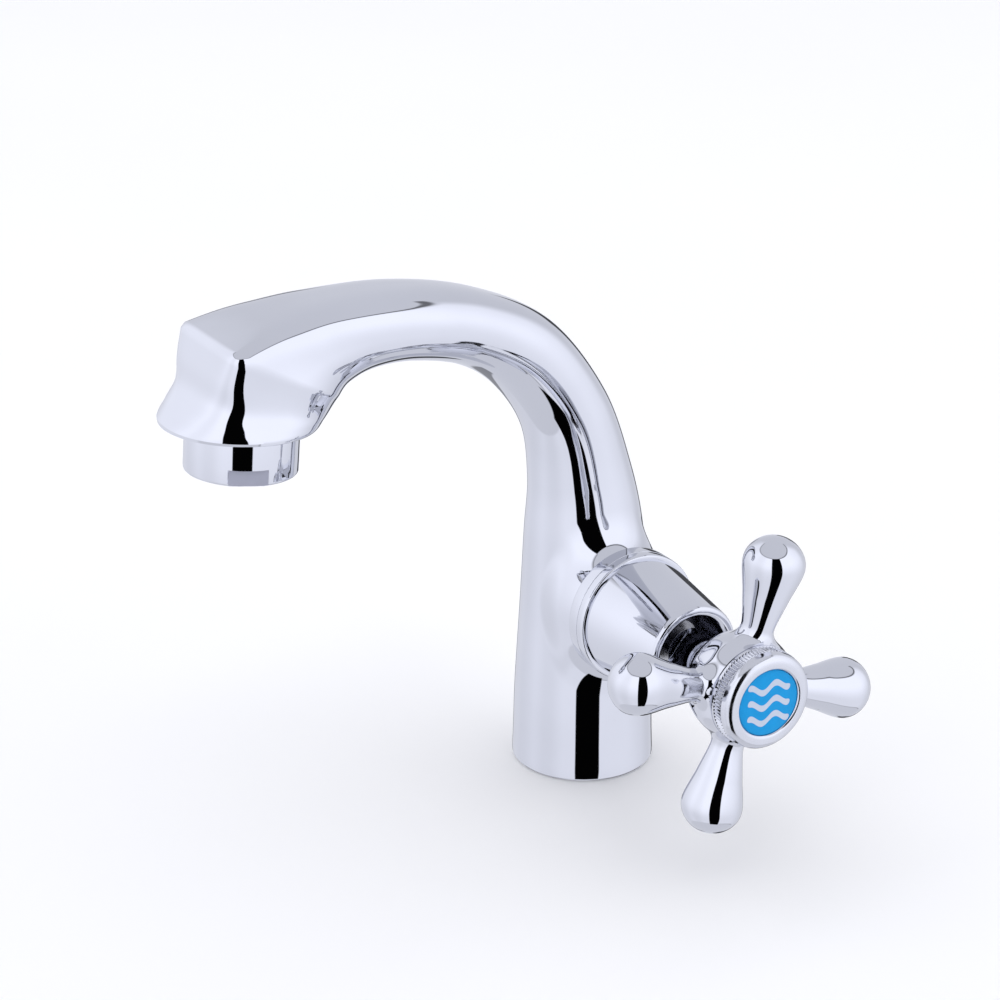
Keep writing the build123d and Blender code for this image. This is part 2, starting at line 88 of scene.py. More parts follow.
# Sections of the casting: inner y, z, outer y, z, half width, squareness inside and outside
COLUMN_AND_ARCH = np.array([
    (-18.4, 0.0, 18.4, 0.0, 18.4, 2.0, 2.0),
    (-19.3, 0.5, 19.3, 0.5, 19.3, 2.0, 2.0),
    (-19.6, 1.6, 19.6, 1.6, 19.6, 2.0, 2.0),
    (-19.4, 8.0, 19.4, 8.0, 19.4, 2.0, 2.0),
    (-19.0, 22.0, 19.0, 22.0, 19.0, 2.0, 2.0),
    (-17.7, 45.0, 17.8, 45.0, 17.8, 2.0, 2.0),
    (-16.7, 67.0, 15.7, 69.0, 16.2, 2.0, 2.0),
    (-16.0, 83.0, 11.6, 87.3, 14.1, 2.0, 2.0),
    (-18.3, 99.0, 3.0, 109.0, 13.0, 2.1, 2.1),
    (-27.7, 113.0, -13.0, 129.5, 13.0, 2.2, 2.2),
    (-40.7, 122.0, -33.8, 140.4, 13.1, 2.4, 2.4),
    (-56.0, 126.1, -56.6, 145.1, 14.0, 2.5, 2.7),
    (-66.5, 126.0, -80.0, 145.4, 14.1, 2.4, 3.2),
    (-73.1, 123.5, -95.0, 143.6, 15.4, 2.2, 4.2),
    (-76.2, 121.0, -109.0, 139.2, 17.6, 2.3, 9.0),
])
NOSE = np.array([
    (-76.2, 121.0, -109.0, 139.2, 17.6, 2.3, 9.0),
    (-77.2, 119.5, -111.5, 132.1, 17.2, 2.2, 6.0),
    (-78.3, 118.0, -113.2, 126.4, 17.4, 2.1, 4.0),
    (-79.6, 116.7, -117.1, 122.2, 18.8, 2.0, 2.8),
    (-81.0, 115.5, -120.8, 118.5, 19.8, 2.0, 2.1),
    (-81.8, 114.8, -118.9, 117.3, 18.4, 2.0, 2.0),
])
HUB_OUTLINE = np.array([(63.5, 8.4), (67.5, 12.2), (74.0, 14.0), (79.4, 12.9)])
ARM_OUTLINE = np.array([(11.0, 4.5), (16.0, 4.2), (24.0, 5.9), (32.8, 7.85), (37.8, 5.2),
                        (39.7, 0.0)])

# ---- how finely and how softly shapes are made ------------------------------------------------
AROUND = 192                  # points round the casting, a multiple of 4
ROW_STEP = 0.9                # spacing of its rows
TURNED_AROUND = 240           # points round a turned piece
CREASE_GAP = 0.75             # half width of the soft edge between the spout's top and its nose
BOSS_MELT = 12.0              # reach of the fillet between column and boss
BOSS_MELT_START = 14.0        # distance from the tap's middle over which that fillet grows
ARM_MELT = 3.0                # reach of the fillet between hub and arm
SHARP = radians(32)           # steeper edges than this are shaded as edges
FINE = 4000                   # points along a curve from which even rows are picked
FAR = 99.0                    # a distance that never matters in a smooth union


# ---- mesh code --------------------------------------------------------------------------------
def catmull(rows, place):
    """Smooth values of a table's columns at places counted in rows."""
    start = np.clip(place.astype(int), 0, len(rows) - 2)
    share = (place - start)[:, None]
    before, first = rows[np.maximum(start - 1, 0)], rows[start]
    second, after = rows[start + 1], rows[np.minimum(start + 2, len(rows) - 1)]
    bend = 3 * (first - second) + after - before
    curve = 2 * before - 5 * first + 4 * second - after + share * bend
    return first + 0.5 * share * (second - before + share * curve)


def section_rings(stations):
    """Closed rings of points for rows of station values."""
    turn = -pi + 2 * pi * np.arange(AROUND) / AROUND
    across, along = np.cos(turn)[None, :], np.sin(turn)[None, :]
    power = np.where(along > 0, stations[:, 6:7], stations[:, 5:6])
    size = (np.abs(across) ** power + np.abs(along) ** power) ** (-1 / power)
    rings = np.zeros((len(stations), AROUND, 3))
    rings[:, :, 0] = stations[:, 4:5] * size * across
    for axis in (0, 1):
        inner, outer = stations[:, axis:axis + 1], stations[:, axis + 2:axis + 3]
        rings[:, :, axis + 1] = (inner + outer) / 2 + (outer - inner) / 2 * size * along
    return rings


def evenly(stations, start_gap=0.0, end_gap=0.0):
    """Station values about ROW_STEP apart, measured along the casting's outer side."""
    place = np.linspace(0, len(stations) - 1, FINE)
    values = catmull(stations, place)
    steps = np.linalg.norm(np.diff(values[:, :4], axis=0), axis=1) / 2 ** 0.5
    steps = steps + np.abs(np.diff(values[:, 4]))
    length = np.concatenate(([0], np.cumsum(steps)))
    count = int(length[-1] / ROW_STEP)
    wanted = np.linspace(start_gap, length[-1] - end_gap, count)
    return catmull(stations, np.interp(wanted, length, place))


def settle(points, field, free=(1, 1, 1), steps=10, nudge=0.01):
    """Move points onto the surface where a field is zero, by Newton steps."""
    points = np.array(points, float)
    for _ in range(steps):
        value = field(points)
        slope = np.zeros_like(points)
        for axis in range(3):
            if free[axis]:
                shifted = points.copy()
                shifted[:, axis] += nudge
                slope[:, axis] = (field(shifted) - value) / nudge
        size = np.maximum((slope ** 2).sum(1), 0.05)
        points -= np.clip(value / size, -3, 3)[:, None] * slope
    return points


def melt(first, second, reach):
    """Smooth union of two distances."""
    reach = np.maximum(reach, 1e-6)
    share = np.clip(1 - np.abs(first - second) / reach, 0, 1)
    return np.minimum(first, second) - share ** 2 * reach / 4


class Shell:
    """A mesh grown from closed rings of points."""

    def __init__(self):
        self.points = []
        self.faces = []

    def ring(self, points):
        start = len(self.points)
        self.points.extend(np.asarray(points).tolist())
        return list(range(start, len(self.points)))

    def join(self, first, second):
        for k in range(len(first)):
            after = (k + 1) % len(first)
            self.faces.append((first[k], first[after], second[after], second[k]))

    def stack(self, rings):
        """Join rings one after the other and return the last."""
        last = self.ring(rings[0])
        for points in rings[1:]:
            fresh = self.ring(points)
            self.join(last, fresh)
            last = fresh
        return last

    def close(self, ring):
        centre = self.ring([np.mean([self.points[k] for k in ring], axis=0)])[0]
        for k in range(len(ring)):
            self.faces.append((ring[k], ring[(k + 1) % len(ring)], centre))

    def skin(self, rings, holes):
        """Quads over rows of rings, left open in each hole (row, row, column, column)."""
        index = [self.ring(points) for points in rings]
        around = len(index[0])
        for row in range(len(index) - 1):
            for k in range(around):
                if any(a <= row < b and (k - c) % around < d - c for a, b, c, d in holes):
                    continue
                after = (k + 1) % around
                self.faces.append((index[row][k], index[row][after],
                                   index[row + 1][after], index[row + 1][k]))
        edges = []
        for a, b, c, d in holes:
            columns = [k % around for k in range(c, d + 1)]
            edge = [index[a][k] for k in columns]
            edge += [index[row][columns[-1]] for row in range(a + 1, b)]
            edge += [index[b][k] for k in reversed(columns)]
            edge += [index[row][columns[0]] for row in range(b - 1, a, -1)]
            edges.append(edge)
        return index, edges

    def limb(self, edge, last, steps, field):
        """Rings from the edge of a hole to a last ring, laid on a field's surface."""
        start = np.array([self.points[k] for k in edge])
        ring = edge
        for step in range(1, steps + 1):
            share = step / steps
            points = start * (1 - share) + last * share
            fresh = self.ring(settle(points, field) if step < steps else last)
            self.join(ring, fresh)
            ring = fresh
        return ring


def piece(name, shell, body, slot, *nodes):
    """Turn a shell into an object that rides on a body and stands for CAD nodes."""
    mesh = bpy.data.meshes.new(name)
    mesh.from_pydata((np.array(shell.points) * MM).tolist(), [], shell.faces)
    work = bmesh.new()
    work.from_mesh(mesh)
    bmesh.ops.recalc_face_normals(work, faces=work.faces)
    work.to_mesh(mesh)
    work.free()
    mesh.polygons.foreach_set("use_smooth", [True] * len(mesh.polygons))
    mesh.set_sharp_from_angle(angle=SHARP)
    result = bpy.data.objects.new(name, mesh)
    bpy.context.scene.collection.objects.link(result)
    mesh.materials.append(MATERIALS[slot])
    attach(result, body)
    if nodes:
        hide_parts(*nodes)
    return result


def soften(corners, steps=6):
    """An outline with each corner (along, radius, softness) turned into a small curve."""
    outline = []
    for k, (along, radius, *soft) in enumerate(corners):
        here = np.array((along, radius))
        if not soft:
            outline.append(here)
            continue
        sides = []
        for other in (corners[k - 1], corners[(k + 1) % len(corners)]):
            way = np.array(other[:2]) - here
            size = np.linalg.norm(way)
            sides.append(here + way / size * min(soft[0], size * 0.49))
        for share in np.linspace(0, 1, steps):
            a, b, c = (1 - share) ** 2, 2 * share * (1 - share), share ** 2
            outline.append(a * sides[0] + b * here + c * sides[1])
    return np.array(outline)


def handle_circle(along, radius, count=TURNED_AROUND):
    """Points round the handle's axis."""
    turn = 2 * pi * np.arange(count) / count
    return np.stack([np.full(count, along), radius * np.cos(turn),
                     HANDLE_Z + radius * np.sin(turn)], axis=1)


def outlet_circle(along, radius, count=TURNED_AROUND):
    """Points round the outlet's axis, at a height above the aerator's rim."""
    turn = -pi + 2 * pi * np.arange(count) / count
    front = Vector((0, cos(OUTLET_TILT), -sin(OUTLET_TILT)))
    centre = np.array(OUTLET + float(along) * OUTLET_UP)
    radius = np.broadcast_to(radius, count)[:, None]
    return centre + radius * (np.cos(turn)[:, None] * np.array((1, 0, 0))
                              - np.sin(turn)[:, None] * np.array(front))


def turned(outline, circle, count=TURNED_AROUND):
    """A closed outline turned about an axis."""
    shell = Shell()
    last = shell.stack([circle(along, radius, count) for along, radius in outline])
    shell.join(last, list(range(count)))
    return shell


# ---- materials --------------------------------------------------------------------------------
def start_material(name):
    """A material with its node tree, its main shader and object-space coordinates."""
    material = bpy.data.materials.new(name)
    material.use_nodes = True
    tree = material.node_tree
    place = tree.nodes.new("ShaderNodeTexCoord").outputs["Object"]
    return material, tree, tree.nodes["Principled BSDF"], place


def noise(tree, place, scale, detail=3.0):
    """Noise value with a scale in cycles per metre."""
    node = tree.nodes.new("ShaderNodeTexNoise")
    node.inputs["Scale"].default_value = scale
    node.inputs["Detail"].default_value = detail
    tree.links.new(place, node.inputs["Vector"])
    return node.outputs["Fac"]


def spread(tree, value, low, high, start=0.3, end=0.7):
    """A value mapped to a range."""
    node = tree.nodes.new("ShaderNodeMapRange")
    node.interpolation_type = "SMOOTHSTEP"
    for socket, number in zip(("From Min", "From Max", "To Min", "To Max"),
                              (start, end, low, high)):
        node.inputs[socket].default_value = number
    tree.links.new(value, node.inputs["Value"])
    return node.outputs["Result"]


def mixed(tree, share, first, second):
    """A colour between two, by a share from 0 to 1."""
    node = tree.nodes.new("ShaderNodeMix")
    node.data_type = "RGBA"
    node.inputs["A"].default_value = (*first, 1)
    node.inputs["B"].default_value = (*second, 1)
    tree.links.new(share, node.inputs["Factor"])
    return node.outputs["Result"]


def bumped(tree, shader, value, distance, strength=1.0):
    """Surface relief of a height in metres."""
    node = tree.nodes.new("ShaderNodeBump")
    node.inputs["Distance"].default_value = distance
    node.inputs["Strength"].default_value = strength
    tree.links.new(value, node.inputs["Height"])
    tree.links.new(node.outputs["Normal"], shader.inputs["Normal"])


def math(tree, operation, *values):
    """One math node, with sockets or plain numbers as its inputs."""
    node = tree.nodes.new("ShaderNodeMath")
    node.operation = operation
    for socket, value in zip(node.inputs, values):
        if isinstance(value, (int, float)):
            socket.default_value = value
        else:
            tree.links.new(value, socket)
    return node.outputs[0]


def chrome(name, roughness=0.03, tint=(0.70, 0.71, 0.76)):
    """Polished chrome plate: faint tone shifts, wiping marks and a little unevenness."""
    material, tree, shader, place = start_material(name)
    shader.inputs["Metallic"].default_value = 1.0
    darker = tuple(0.965 * channel for channel in tint)
    tone = spread(tree, noise(tree, place, 35.0), 0, 1)
    tree.links.new(mixed(tree, tone, tint, darker), shader.inputs["Base Color"])
    marks = spread(tree, noise(tree, place, 160.0, 6.0), roughness, roughness * 1.9, 0.45, 0.75)
    tree.links.new(marks, shader.inputs["Roughness"])
    bumped(tree, shader, noise(tree, place, 220.0, 1.0), 0.0000015)
    return material


def machined(name, tint, pitch=2400.0, roughness=0.24):
    """Turned metal with fine tool marks round the handle's axis."""
    material, tree, shader, place = start_material(name)
    shader.inputs["Metallic"].default_value = 1.0
    wave = tree.nodes.new("ShaderNodeTexWave")
    wave.bands_direction = "X"
    wave.inputs["Scale"].default_value = pitch
    wave.inputs["Distortion"].default_value = 1.5
    tree.links.new(place, wave.inputs["Vector"])
    tone = spread(tree, noise(tree, place, 90.0), 0, 1)
    darker = tuple(0.85 * channel for channel in tint)
    tree.links.new(mixed(tree, tone, tint, darker), shader.inputs["Base Color"])
    tree.links.new(spread(tree, wave.outputs["Fac"], roughness, roughness * 1.5, 0, 1),
                   shader.inputs["Roughness"])
    bumped(tree, shader, wave.outputs["Fac"], 0.000008)
    return material


def matte(name, tint, roughness=0.6, grain=1400.0, depth=0.00001):
    """Rubber, ceramic or moulded plastic, with a fine grain."""
    material, tree, shader, place = start_material(name)
    tone = spread(tree, noise(tree, place, 120.0), 0, 1)
    darker = tuple(0.9 * channel for channel in tint)
    tree.links.new(mixed(tree, tone, tint, darker), shader.inputs["Base Color"])
    fine = noise(tree, place, grain, 4.0)
    tree.links.new(spread(tree, fine, roughness * 0.9, min(1.0, roughness * 1.15)),
                   shader.inputs["Roughness"])
    bumped(tree, shader, fine, depth)
    return material


def painted_shade_metal(name):
    """Dull metal darkened to near black: painted shade for the inside of a plated shell."""
    material, tree, shader, place = start_material(name)
    shader.inputs["Metallic"].default_value = 1.0
    # near-black bluish tones: painted shade, not a real metal colour
    tone = spread(tree, noise(tree, place, 400.0), 0, 1)
    tree.links.new(mixed(tree, tone, (0.05, 0.05, 0.085), (0.02, 0.02, 0.04)),
                   shader.inputs["Base Color"])
    tree.links.new(spread(tree, noise(tree, place, 900.0), 0.25, 0.5), shader.inputs["Roughness"])
    return material


def woven_steel(name):
    """Fine woven steel gauze."""
    material, tree, shader, place = start_material(name)
    shader.inputs["Metallic"].default_value = 1.0
    waves = []
    for direction in "XY":
        wave = tree.nodes.new("ShaderNodeTexWave")
        wave.bands_direction = direction
        wave.inputs["Scale"].default_value = 700.0
        tree.links.new(place, wave.inputs["Vector"])
        waves.append(wave.outputs["Fac"])
    weave = math(tree, "MULTIPLY", *waves)
    tree.links.new(mixed(tree, weave, (0.12, 0.12, 0.13), (0.6, 0.6, 0.63)),
                   shader.inputs["Base Color"])
    shader.inputs["Roughness"].default_value = 0.35
    bumped(tree, shader, weave, 0.0001)
    return material


MARK_PITCH = 0.0042           # between the three water lines on the index
MARK_WAVE = 0.0075            # length of one wave
MARK_SWING = 0.0010           # its height either way
MARK_HALF = 0.00085           # half the width of a line
MARK_HALF_LENGTH = 0.0055


def index_print(name):
    """Blue index print with three light water lines, under a glossy coat."""
    material, tree, shader, place = start_material(name)
    split = tree.nodes.new("ShaderNodeSeparateXYZ")
    tree.links.new(place, split.inputs[0])
    sideways = split.outputs["Y"]
    swing = math(tree, "MULTIPLY", math(tree, "SINE", math(tree, "MULTIPLY", sideways,
                                                         2 * pi / MARK_WAVE)), MARK_SWING)
    height = math(tree, "SUBTRACT", math(tree, "SUBTRACT", split.outputs["Z"], HANDLE_Z * MM),
                  swing)
    nearest = math(tree, "MULTIPLY", math(tree, "ROUND", math(tree, "DIVIDE", height, MARK_PITCH)),
                   MARK_PITCH)
    nearest = math(tree, "MINIMUM", math(tree, "MAXIMUM", nearest, -MARK_PITCH), MARK_PITCH)
    away = math(tree, "ABSOLUTE", math(tree, "SUBTRACT", height, nearest))
    past = math(tree, "MAXIMUM", math(tree, "SUBTRACT", math(tree, "ABSOLUTE", sideways),
                                     MARK_HALF_LENGTH), 0.0)
    distance = math(tree, "SQRT", math(tree, "ADD", math(tree, "POWER", away, 2.0),
                                      math(tree, "POWER", past, 2.0)))
    mark = spread(tree, distance, 1.0, 0.0, MARK_HALF * 0.93, MARK_HALF * 1.07)
    ink = tree.nodes.new("ShaderNodeMix")
    ink.data_type = "RGBA"
    tone = spread(tree, noise(tree, place, 300.0), 0, 1)
    tree.links.new(mixed(tree, tone, (0.0, 0.34, 0.76), (0.0, 0.32, 0.72)), ink.inputs["A"])
    ink.inputs["B"].default_value = (0.60, 0.66, 0.78, 1)
    tree.links.new(mark, ink.inputs["Factor"])
    tree.links.new(ink.outputs["Result"], shader.inputs["Base Color"])
    shader.inputs["Roughness"].default_value = 0.4
    shader.inputs["Specular IOR Level"].default_value = 0.2
    shader.inputs["Coat Weight"].default_value = 0.05
    shader.inputs["Coat Roughness"].default_value = 0.08
    bumped(tree, shader, mark, 0.00002)
    return material


NICKEL = (0.10, 0.10, 0.125)
STEEL = (0.56, 0.56, 0.58)
BLACK = (0.018, 0.018, 0.019)
MATERIALS = {
    "chrome_body": chrome("chrome_body"),
    "chrome_trim": chrome("chrome_trim"),
    "chrome_shroud": chrome("chrome_shroud"),
    "chrome_handle": chrome("chrome_handle", 0.035),
    "chrome_index": chrome("chrome_index", 0.13),
    "chrome_aerator": chrome("chrome_aerator"),
    "index_blue": index_print("index_blue"),
    "plated_headwork": machined("plated_headwork", NICKEL),
    "plated_spindle": machined("plated_spindle", NICKEL),
    "steel_screw": machined("steel_screw", STEEL),
    "steel_clip": machined("steel_clip", STEEL),
    "slide_plastic": matte("slide_plastic", (0.85, 0.85, 0.82), 0.4),
    "rubber_spindle": matte("rubber_spindle", BLACK),
    "rubber_body": matte("rubber_body", BLACK),
    "rubber_seat": matte("rubber_seat", BLACK),
    "rubber_base": matte("rubber_base", BLACK, 0.7, 900.0, 0.00003),
    "rubber_aerator": matte("rubber_aerator", BLACK),
    "ceramic_fixed": matte("ceramic_fixed", (0.86, 0.86, 0.84), 0.25),
    "ceramic_moving": matte("ceramic_moving", (0.86, 0.86, 0.84), 0.25),
    "white_insert": matte("white_insert", (0.82, 0.82, 0.83), 0.4),
    "white_plate": matte("white_plate", (0.75, 0.77, 0.82), 0.4),
    "steel_screen": woven_steel("steel_screen"),
}
for subpart in frame["record"]["subparts"]:
    node = frame["nodes"][subpart["node"]]
    node.data.materials.clear()
    slot = subpart["material_slot"]
    node.data.materials.append(MATERIALS[slot])


# ---- casting ----------------------------------------------------------------------------------
HOLE_LOW = 17.0               # rows of the column between which the boss grows out
HOLE_HIGH = 91.0
HOLE_TURN = radians(100)
BELOW_HOLE = 12.0             # how far past the hole the column is laid on the fillet
ABOVE_HOLE = 9.0
BOSS_STEPS = 64               # rows from the hole to the boss's rim
TABLE_LOW = 2.0               # heights that the table of the column's radii covers
TABLE_HIGH = 104.0
TABLE_STEP = 0.4
TABLE_TURNS = 721


def column_field(rings):
    """Distance from the column's own surface, read from a table of its radii."""
    heights = np.arange(TABLE_LOW, TABLE_HIGH, TABLE_STEP)
    turns = np.linspace(-pi, pi, TABLE_TURNS)
    sides = [[np.interp(heights, rings[:, k, 2], rings[:, k, axis]) for k in range(AROUND)]
             for axis in (0, 1)]
    x, y = np.array(sides[0]).T, np.array(sides[1]).T
    middle = (y[:, AROUND // 4] + y[:, 3 * AROUND // 4]) / 2
    table = np.array([np.interp(turns, np.arctan2(y[m] - middle[m], x[m]),
                                np.hypot(x[m], y[m] - middle[m]), period=2 * pi)
                      for m in range(len(heights))])

    def field(points):
        row = np.clip((points[:, 2] - heights[0]) / TABLE_STEP, 0, len(heights) - 1.001)
        low = row.astype(int)
        share = row - low
        centre = middle[low] * (1 - share) + middle[low + 1] * share
        turn = np.arctan2(points[:, 1] - centre, points[:, 0])
        place = (turn + pi) / (2 * pi) * (len(turns) - 1)
        left = np.clip(place.astype(int), 0, len(turns) - 2)
        part = place - left
        radius = ((table[low, left] * (1 - part) + table[low, left + 1] * part) * (1 - share)
                  + (table[low + 1, left] * (1 - part) + table[low + 1, left + 1] * part) * share)
        return np.hypot(points[:, 0], points[:, 1] - centre) - radius

    return field


def make_body():
    """Column, arched spout, nose and side boss as one skin."""
    arch = section_rings(evenly(COLUMN_AND_ARCH, end_gap=CREASE_GAP))
    nose = section_rings(evenly(NOSE, start_gap=CREASE_GAP))
    rings = np.concatenate((arch, nose))
    column = column_field(arch)

    def field(points):
        growth = np.clip(points[:, 0] / BOSS_MELT_START, 0, 1)
        reach = BOSS_MELT * growth * growth * (3 - 2 * growth)
        boss = np.hypot(points[:, 1], points[:, 2] - HANDLE_Z) - BOSS_R
        return melt(column(points), np.where(points[:, 0] > 0, boss, FAR), reach)

    rows = np.abs(rings[:, AROUND // 2, 2][:, None] - np.array((HOLE_LOW, HOLE_HIGH))).argmin(0)
    half = int(HOLE_TURN / (2 * pi) * AROUND)
    heights = rings[:len(arch), :, 2]
    near = (heights > HOLE_LOW - BELOW_HOLE) & (heights < HOLE_HIGH + ABOVE_HOLE)
    rings[:len(arch)][near] = settle(rings[:len(arch)][near], field, steps=6)
    shell = Shell()
    hole = (int(rows[0]), int(rows[1]), AROUND // 2 - half, AROUND // 2 + half)
    index, edges = shell.skin(rings, [hole])
    edge = np.array([shell.points[k] for k in edges[0]])
    turn = np.arctan2(edge[:, 2] - HANDLE_Z, edge[:, 1])

    def around_boss(along, radius):
        return np.stack([np.full(len(turn), along), radius * np.cos(turn),
                         HANDLE_Z + radius * np.sin(turn)], axis=1)

    rim = settle(around_boss(BOSS_END, BOSS_R), field, free=(0, 1, 1))
    ring = shell.limb(edges[0], rim, BOSS_STEPS, field)
    for along, radius in ((BOSS_END, SPIGOT_R), (SPIGOT_END, SPIGOT_R),
                          (SPIGOT_END, SPIGOT_BORE_R), (BOSS_END, SPIGOT_BORE_R),
                          (BOSS_END, SEAT_BORE_R), (SEAT_BORE_END, SEAT_BORE_R)):
        fresh = shell.ring(around_boss(along, radius))
        shell.join(ring, fresh)
        ring = fresh
    shell.close(ring)
    ring = index[-1]
    for along, radius in ((LIP_HEIGHT, SOCKET_R), (SOCKET_TOP, SOCKET_R),
                          (SOCKET_TOP, OUTLET_BORE_R), (OUTLET_BORE_TOP, OUTLET_BORE_R)):
        fresh = shell.ring(outlet_circle(along, radius, AROUND)[::-1])
        fresh = fresh[-1:] + fresh[:-1]
        shell.join(ring, fresh)
        ring = fresh
    shell.close(ring)
    ring = index[0]
    turn = -pi + 2 * pi * np.arange(AROUND) / AROUND
    for radius, height in ((GROOVE_OUTER_R, 0.0), (GROOVE_OUTER_R, GROOVE_DEPTH),
                           (GROOVE_INNER_R, GROOVE_DEPTH), (GROOVE_INNER_R, 0.0)):
        fresh = shell.ring(np.stack([radius * np.cos(turn), radius * np.sin(turn),
                                     np.full(AROUND, height)], axis=1))
        shell.join(ring, fresh)
        ring = fresh
    shell.close(ring)
    return piece("casting", shell, "tap_body", "chrome_body", "body")


make_body()


# ---- turned trim, shroud and index ring -------------------------------------------------------
RING_BORE_R = 13.5


def make_trim_ring():
    """Ring with a rounded back edge and a crisp front edge."""
    corners = [(BOSS_END, RING_BORE_R), (BOSS_END, RING_R, 1.0), (RING_END, RING_R, 0.15),
               (RING_END, RING_BORE_R)]
    return piece("trim_bead", turned(soften(corners), handle_circle), "tap_body", "chrome_trim",
                 "trim_ring")


SHOULDER_R = 17.75
SHOULDER_END = 27.3
CONE_BACK_R = 16.6
CONE_FRONT_R = 13.0
MOUTH_R = 10.0
MOUTH_END = SHROUD_LIP - 3.5
COLLAR_R = 12.6
COLLAR_END = 29.0
CAVITY_R = 14.0
INSIDE_R = 12.4               # faces of the shroud nearer its axis than this get near-black painted shade
SHADE_START_DEPTH = 1.1            # but only from this far behind its lip


def make_shroud():
    """Shoulder, tapered cover and open mouth, with near-black painted shade inside."""
    corners = [(RING_END, COLLAR_R), (RING_END, SHOULDER_R, 0.15),
               (SHOULDER_END, SHOULDER_R, 1.1), (SHOULDER_END, CONE_BACK_R),
               (SHROUD_LIP, CONE_FRONT_R, 1.5), (SHROUD_LIP, 11.0, 0.8),
               (SHROUD_LIP - 1.2, MOUTH_R, 0.3), (MOUTH_END, MOUTH_R), (MOUTH_END, 11.3),
               (COLLAR_END + 1.0, CAVITY_R), (COLLAR_END, CAVITY_R), (COLLAR_END, COLLAR_R)]
    shell = turned(soften(corners), handle_circle)
    shroud = piece("shroud", shell, "tap_body", "chrome_shroud", "bonnet_shroud")
    shroud.data.materials.append(painted_shade_metal("shroud_inside_painted_shade"))
    # deep inner faces of the mouth take the near-black painted shade
    for face in shroud.data.polygons:
        away = np.hypot(face.center.y, face.center.z - HANDLE_Z * MM)
        if away < INSIDE_R * MM and face.center.x < (SHROUD_LIP - SHADE_START_DEPTH) * MM:
            face.material_index = 1
    return shroud


make_trim_ring()
make_shroud()

KNURLS = 84
KNURL_DEPTH = 0.45
KNURL_POINTS = 8              # points round each tooth
KNURL_START = 80.7
KNURL_END = 83.3
CAP_R = 12.9
CAP_STEM_START = 75.0         # the cap's threaded stem sits in the hub's recess
CAP_STEM_R = 9.95
CAP_BORE_R = 8.2
DISC_SEAT_R = 8.8


def make_index_ring():
    """Screwed index cap: a knurled band behind a smooth rounded face."""
    count = KNURLS * KNURL_POINTS
    tooth = 0.5 + 0.5 * np.cos(2 * pi * np.arange(count) / KNURL_POINTS)
    corners = [(CAP_STEM_START, CAP_BORE_R), (CAP_STEM_START, CAP_STEM_R),
               (HUB_FRONT, CAP_STEM_R), (HUB_FRONT, 12.5), (79.7, 12.8), (80.6, CAP_R),
               (KNURL_START, CAP_R), (KNURL_END, CAP_R), (83.4, 12.7), (83.6, 12.8, 0.2),
               (85.3, 12.6, 1.2), (INDEX_FRONT, 11.2, 1.2), (INDEX_FRONT, 9.3, 0.5),
               (85.9, DISC_SEAT_R, 0.2), (DISC_START, DISC_SEAT_R), (DISC_START, CAP_BORE_R)]
    shell = Shell()
    rings = []
    for along, radius in soften(corners):
        knurled = KNURL_START - 0.01 < along < KNURL_END + 0.01 and radius > 12.8
        cut = KNURL_DEPTH if knurled else 0.0
        circle = handle_circle(along, 1.0, count)
        circle[:, 1:] -= (0, HANDLE_Z)
        circle[:, 1:] *= (radius - cut * tooth)[:, None]
        circle[:, 2] += HANDLE_Z
        rings.append(circle)
    shell.join(shell.stack(rings), list(range(count)))
    return piece("index_cap", shell, "handle", "chrome_index", "index_ring")


def make_index_disc():
    """Printed disc, crowned a little, with a softened edge."""
    shell = Shell()
    outline = [(DISC_START, DISC_R), (DISC_FRONT - 0.45, DISC_R), (DISC_FRONT - 0.3, DISC_R - 0.1)]
    outline += [(DISC_FRONT - 0.3 * (1 - 0.98 * cos(share * pi / 2)), radius) for share, radius in
                ((0.9, 8.5), (0.75, 7.0), (0.5, 5.0), (0.3, 3.0), (0.1, 1.0))]
    last = shell.stack([handle_circle(along, radius) for along, radius in outline])
    shell.close(list(range(TURNED_AROUND)))
    shell.close(last)
    return piece("index_button", shell, "handle", "index_blue", "index_disc")


make_index_ring()
make_index_disc()


# ---- cross handle -----------------------------------------------------------------------------
HUB_ROWS = 46
HUB_AROUND = 176
ARM_HALF_TURN = 17            # columns of the hub on each side of an arm
ARM_HOLE_START = 68.6         # where along the handle's axis the holes for the arms begin
ARM_BASE = 21.0               # from here outwards an arm is a plain turned shape
ARM_START = 4                 # nearer the axis than this an arm doesn't count
ARM_STEPS = 26                # rows from the hub to there
ARM_POINTS = 600              # points of the arm's outline, and those ahead of its bulb's end
ARM_SHAFT_POINTS = 450
ARM_STRIDE = 7                # one point in so many makes a row of the plain shape
NECK_R = 6.4                  # neck behind the hub, which turns in the shroud's mouth
NECK_START = 50.0
SPLINE_END = 65.8
SCREW_HOLE_R = 2.6
RECESS_FLOOR = 70.0


def smooth_outline(outline, count, end=None):
    """A smooth line through an outline's points, up to a last one."""
    last = len(outline) - 1 if end is None else end
    fine = catmull(outline, np.linspace(0, last, 2000))
    length = np.concatenate(([0], np.cumsum(np.linalg.norm(np.diff(fine, axis=0), axis=1))))
    wanted = np.linspace(0, length[-1], count)
    return np.stack([np.interp(wanted, length, fine[:, axis]) for axis in (0, 1)], axis=1)


def arm_outline(count):
    """Outline of an arm, with a round tip."""
    mirrored = ARM_OUTLINE[-2] * (1, -1)
    whole = np.concatenate((ARM_OUTLINE, [mirrored]))
    return smooth_outline(whole, count, len(ARM_OUTLINE) - 1)


